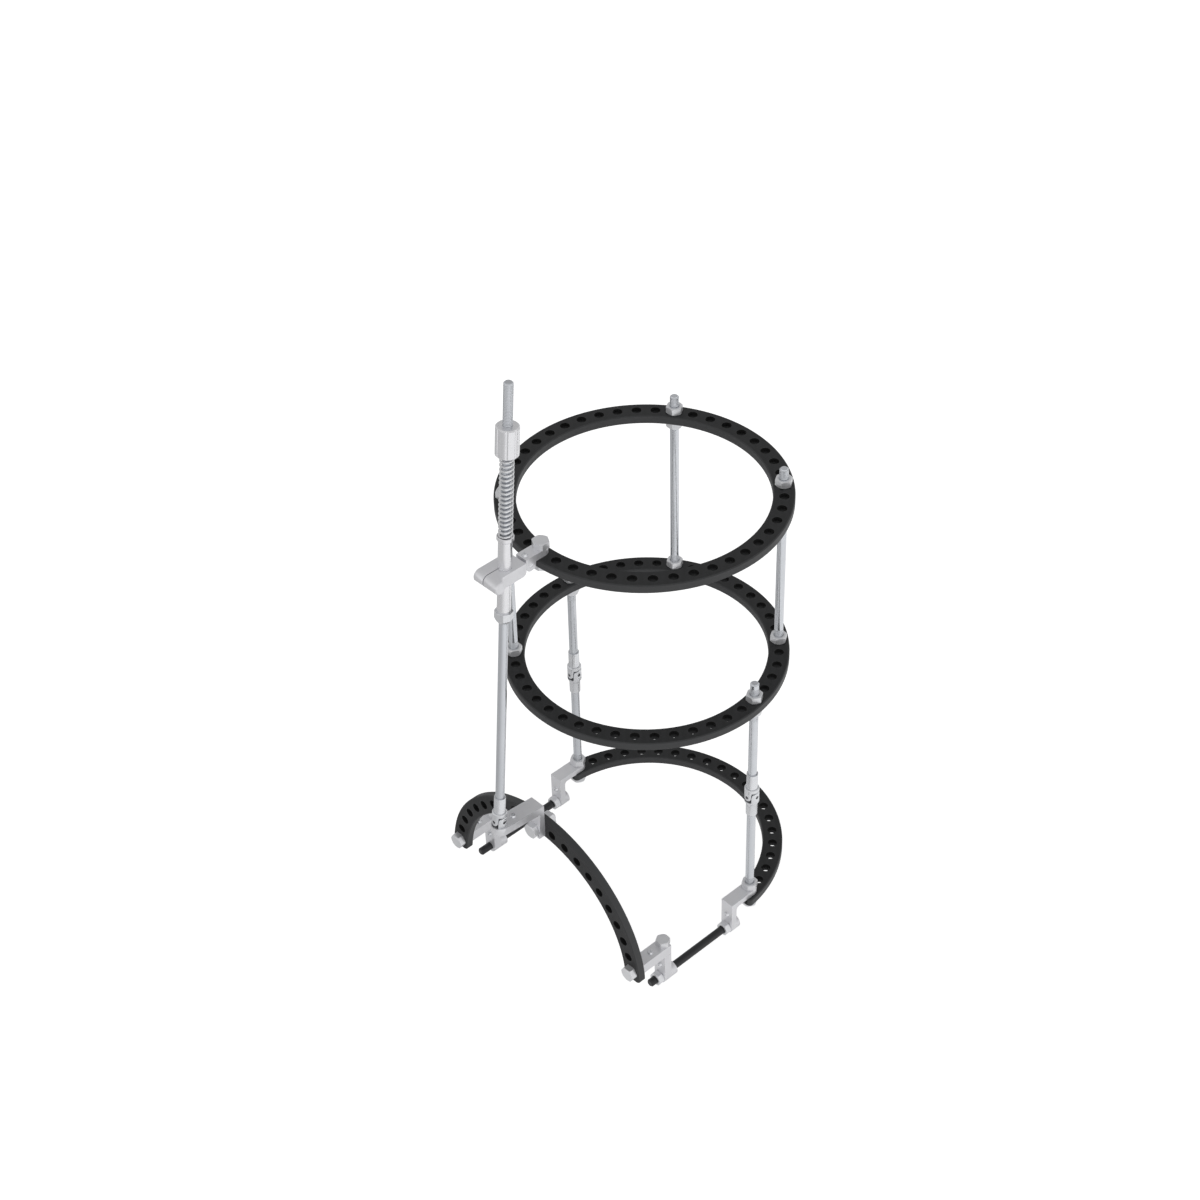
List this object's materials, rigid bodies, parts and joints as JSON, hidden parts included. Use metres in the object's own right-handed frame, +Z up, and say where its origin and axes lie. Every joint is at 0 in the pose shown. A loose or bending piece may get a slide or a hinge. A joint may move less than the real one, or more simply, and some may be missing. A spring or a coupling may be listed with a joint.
{
  "type": "external fixator",
  "caption": "Circular external fixator for an ankle: carbon rings on the shin, hinged heel half ring and forefoot arch, and a spring-loaded threaded drive rod with a fluted knob.",
  "frame": {"origin": "centre of the upper ring's top face, on the leg's axis", "axes": "+Z up along the shin, -Y to the toes, +X to the inner side of a right leg"},
  "size_m": [0.189, 0.2345, 0.4637],
  "materials": {
    "carbon_plate": "matte carbon laminate, slightly lighter at the edges",
    "carbon_rod": "satin black, fine lengthwise fibre",
    "steel": "satin, turned",
    "alloy": "fine bead blasted"
  },
  "bodies": {
    "tibial_frame": {"upper_ring": "carbon_plate", "lower_ring": "carbon_plate", "ring_rods": "steel", "ring_nuts": "steel", "upper_hinge_rods": "steel", "upper_yoke_inner": "steel", "cross_inner": "steel", "upper_yoke_outer": "steel", "cross_outer": "steel", "ring_bracket": "alloy", "ring_bracket_bolt": "steel", "swivel_pin": "steel", "swivel_screw": "steel"},
    "foot_frame": {"lower_yoke_inner": "steel", "lower_yoke_outer": "steel", "lower_hinge_rods": "steel", "heel_half_ring": "carbon_plate", "heel_nuts": "steel", "rear_bracket_inner": "alloy", "rear_bracket_outer": "alloy", "side_rod_inner": "carbon_rod", "side_rod_outer": "carbon_rod", "forefoot_arch": "carbon_plate", "front_bar_inner": "alloy", "front_bar_outer": "alloy", "front_post_inner": "alloy", "front_post_outer": "alloy", "front_bolts": "steel", "arch_bolts": "steel", "side_rod_nuts": "steel", "lock_screws": "steel", "motor_foot_bracket": "alloy", "foot_bracket_bolt": "steel", "foot_bracket_nut": "steel", "foot_bracket_screw": "steel", "motor_fork": "steel", "motor_fork_pins": "steel"},
    "motor_barrel": {"clamp_block": "alloy", "motor_sleeve": "alloy", "lower_tube": "alloy", "collar_nut": "steel", "motor_spring": "steel"},
    "motor_drive": {"motor_rod": "steel", "motor_yoke": "steel", "motor_cross": "steel"},
    "drive_knob": {"knob": "alloy"}
  },
  "joints": [
    {"name": "ankle_hinge", "type": "hinge", "parent": "tibial_frame", "child": "foot_frame", "pos_m": [0, 0.01245, -0.2132], "axis": [1, 0, 0], "range_deg": [-8, 10]},
    {"name": "motor_swivel", "type": "hinge", "parent": "tibial_frame", "child": "motor_barrel", "pos_m": [0, -0.0996, -0.0014], "axis": [1, 0, 0], "range_deg": [-0.5, 0.5]},
    {"name": "drive_slide", "type": "slide", "parent": "motor_barrel", "child": "motor_drive", "axis": [0, -0.0863, -0.9963], "range_m": [-0.0206, 0.0257]},
    {"name": "knob_turn", "type": "hinge", "parent": "motor_barrel", "child": "drive_knob", "pos_m": [0, -0.134, -0.1951], "axis": [0, 0.0863, 0.9963], "range_deg": [-7400, 9300]}
  ],
  "couplings": [
    {"joint": "motor_swivel", "follows": "ankle_hinge", "ratio": -0.014},
    {"joint": "drive_slide", "follows": "ankle_hinge", "m_per_rad": 0.14712},
    {"joint": "knob_turn", "follows": "ankle_hinge", "ratio": 924.37}
  ]
}
